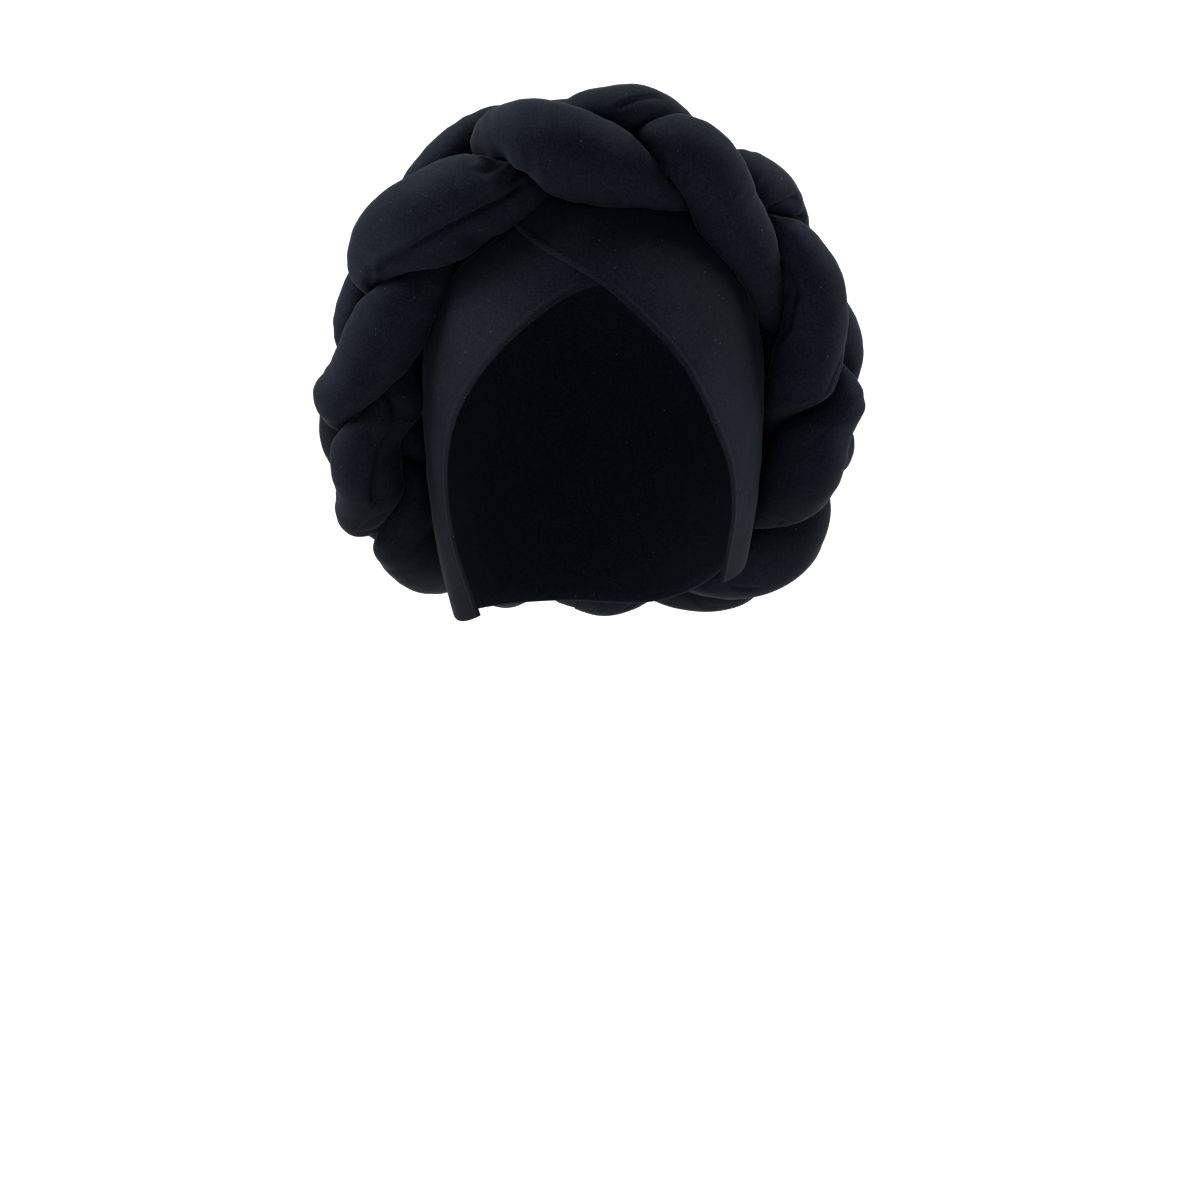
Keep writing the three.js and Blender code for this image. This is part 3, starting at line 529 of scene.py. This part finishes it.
def panel(name, node, table, quick, wave):
    along = 110 if quick else 240
    s = np.linspace(0, 1, along + 1)
    R = rows_at(table, s)
    a = unit(on_head(R[:, 0], R[:, 1]) - CENTRE); b = unit(on_head(R[:, 2], R[:, 3]) - CENTRE)
    width = np.linalg.norm(on_head(R[:, 0], R[:, 1]) - on_head(R[:, 2], R[:, 3]), axis=1)
    # distances from the hem, mm, then the share of the width
    near = np.array([0.0, 0.5, 1.1, 1.8, 2.6, 3.3, 4.0, 4.8, 6.0, 8.0])
    far = np.linspace(0.12, 1, 12 if quick else 22)
    share = np.concatenate([near / 60.0 * 1.0, far[far > near[-1] / 60.0 + 0.02]])
    tt = np.concatenate([np.minimum(near[None] / width[:, None], 0.13), np.repeat(share[len(near):][None], along + 1, 0)], 1)
    d = unit(a[:, None] * (1 - tt[..., None]) + b[:, None] * tt[..., None])
    S = outward(d); Nn = unit(head_grad(S))
    lift = R[:, 4][:, None] + (R[:, 5] - R[:, 4])[:, None] * smooth(tt * 1.7)
    dist = tt * width[:, None]
    hem = smooth((4.2 - dist) / 1.4) * 0.22                # turned hem, a ply thicker
    line = np.exp(-((dist - 4.3) / 0.6) ** 2) * 0.16       # where the turning ends
    wv = wave(s[:, None] + 0 * tt, tt, S)
    end = smooth(0.25 + dist / 2.6)                        # the folded edge is round
    outer = S + Nn * (lift + CLOTH * (0.45 + 0.55 * end) + hem * end - line + wv)[..., None]
    inner = S + Nn * (lift + 0.35 * (1 - end))[..., None]
    prof = np.concatenate([outer[:, ::-1], inner], 1)      # rear .. hem, hem .. rear
    hem_dir = unit(S[:, 0] - S[:, 1])
    nose = (outer[:, 0] + inner[:, 0]) / 2 + hem_dir * 0.6
    k = outer.shape[1]
    prof = np.concatenate([outer[:, ::-1], nose[:, None], inner], 1)
    rows, cols = prof.shape[:2]
    V = prof.reshape(-1, 3); f = []
    for i in range(rows - 1):
        for c in range(cols):
            c2 = (c + 1) % cols
            f.append((i * cols + c, (i + 1) * cols + c, (i + 1) * cols + c2, i * cols + c2))
    # end strips between outer and inner
    for i, flip in ((0, False), (rows - 1, True)):
        for c in range(k - 1):
            q = (i * cols + c, i * cols + c + 1, i * cols + cols - 2 - c, i * cols + cols - 1 - c)
            f.append(tuple(reversed(q)) if flip else q)
        q = (i * cols + k - 1, i * cols + k, i * cols + k + 1)
        f.append(tuple(reversed(q)) if flip else q)
    f = outwards(V, f)
    arc = np.concatenate([[0], np.cumsum(np.linalg.norm(np.diff(S[:, 0], axis=0), axis=1))])
    u2 = np.concatenate([dist[:, ::-1], 0 * dist[:, :1], dist], 1)
    uv = np.stack([u2.reshape(-1) * MM, np.repeat(arc[:, None], cols, 1).reshape(-1) * MM], -1)
    ob = make(name, V, f, MAT_UNDER if node == "front_panel_under" else MAT_OVER, uv)
    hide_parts(node)
    return ob

def wave_under(s, t, S):
    return 0.5 * noise(S, 26, 21) * smooth(t * 3) + 0.25 * noise(S, 10, 22) * smooth(t * 3)
def wave_over(s, t, S):
    return 0.5 * noise(S, 28, 31) * smooth(t * 3) + 0.25 * noise(S, 10, 32) * smooth(t * 3)

for j in range(3):
    strand_mesh(j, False)
crown(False)
panel("front_under", "front_panel_under", PANEL_UNDER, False, wave_under)
panel("front_over", "front_panel_over", PANEL_OVER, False, wave_over)

# =====================================================================================================
# Floor, light, camera
# =====================================================================================================
def flat_material(name, colour, rough):
    m = bpy.data.materials.new(name); m.use_nodes = True
    b = m.node_tree.nodes["Principled BSDF"]
    b.inputs["Base Color"].default_value = (*colour, 1); b.inputs["Roughness"].default_value = rough
    b.inputs["Specular IOR Level"].default_value = 0.2
    return m
# white sweep: floor running up into a back wall
def sweep():
    prof = [(-7.0, FLOOR)] + [(3.2 + 1.6 * sin(t), FLOOR + 1.6 * (1 - cos(t))) for t in np.linspace(0, pi / 2, 17)] + [(4.8, 6.0)]
    v, f = [], []
    for y, z in prof:
        v += [(-7.0, y, z), (7.0, y, z)]
    for i in range(len(prof) - 1):
        f.append((2 * i, 2 * i + 1, 2 * i + 3, 2 * i + 2))
    me = bpy.data.meshes.new("sweep"); me.from_pydata(v, [], f); me.update()
    me.polygons.foreach_set("use_smooth", [True] * len(me.polygons))
    ob = bpy.data.objects.new("sweep", me); bpy.context.scene.collection.objects.link(ob)
    m = flat_material("sweep_white", (0.5, 0.5, 0.5), 0.9)
    n, l = m.node_tree.nodes, m.node_tree.links
    b = n["Principled BSDF"]; b.inputs["Emission Color"].default_value = (1, 1, 1, 1)
    tc = n.new("ShaderNodeTexCoord"); sp = n.new("ShaderNodeSeparateXYZ"); r = n.new("ShaderNodeMapRange")
    r.inputs["From Min"].default_value = -0.3; r.inputs["From Max"].default_value = 1.6
    r.inputs["To Min"].default_value = FLOOR_GLOW; r.inputs["To Max"].default_value = WALL_GLOW
    l.new(tc.outputs["Object"], sp.inputs[0]); l.new(sp.outputs[1], r.inputs["Value"]); l.new(r.outputs[0], b.inputs["Emission Strength"])
    me.materials.append(m)
FLOOR, FLOOR_GLOW, WALL_GLOW = -0.484, 0.45, 1.0
sweep()

world = bpy.data.worlds.new("studio"); bpy.context.scene.world = world
world.use_nodes = True
world.node_tree.nodes["Background"].inputs["Color"].default_value = (1, 1, 1, 1)
world.node_tree.nodes["Background"].inputs["Strength"].default_value = 0.10

def area(name, at, aim, size, power, colour=(1, 1, 1)):
    d = bpy.data.lights.new(name, "AREA"); d.energy = power; d.size = size; d.color = colour
    o = bpy.data.objects.new(name, d); bpy.context.scene.collection.objects.link(o)
    o.location = at
    o.rotation_euler = (Vector(aim) - Vector(at)).to_track_quat("-Z", "Y").to_euler()
    return o
area("left", (-1.7, 0.25, 0.55), (0, 0, -0.1), 0.8, 76)
area("right", (1.7, 0.40, 0.55), (0, 0, -0.1), 0.8, 68)
area("top", (0.0, 0.15, 1.7), (0, 0, -0.1), 0.8, 78)
area("front", (-0.8, -2.0, 1.3), (0, 0, -0.1), 0.8, 10)

# camera: level with a point above the wrap, tipped down a little
F_PX, DISTANCE = 5125.0, 2.507
AZ, EL, PITCH = radians(-3.9), radians(3.5), radians(6.3)
aim = Vector((0, 0, -0.097))
pos = aim + DISTANCE * Vector((sin(AZ) * cos(EL), -cos(AZ) * cos(EL), sin(EL)))
look = aim - pos
yaw = atan2(look.x, look.y) + 7 / F_PX
fwd = Vector((sin(yaw) * cos(PITCH), cos(yaw) * cos(PITCH), -sin(PITCH)))
cam = bpy.data.cameras.new("camera"); cam.sensor_width = 36.0; cam.lens = F_PX / 1200 * 36.0
cam.clip_end = 50
co = bpy.data.objects.new("camera", cam); bpy.context.scene.collection.objects.link(co)
co.location = pos
co.rotation_euler = fwd.to_track_quat("-Z", "Y").to_euler()
bpy.context.scene.camera = co
bpy.context.scene.view_settings.view_transform = "Standard"
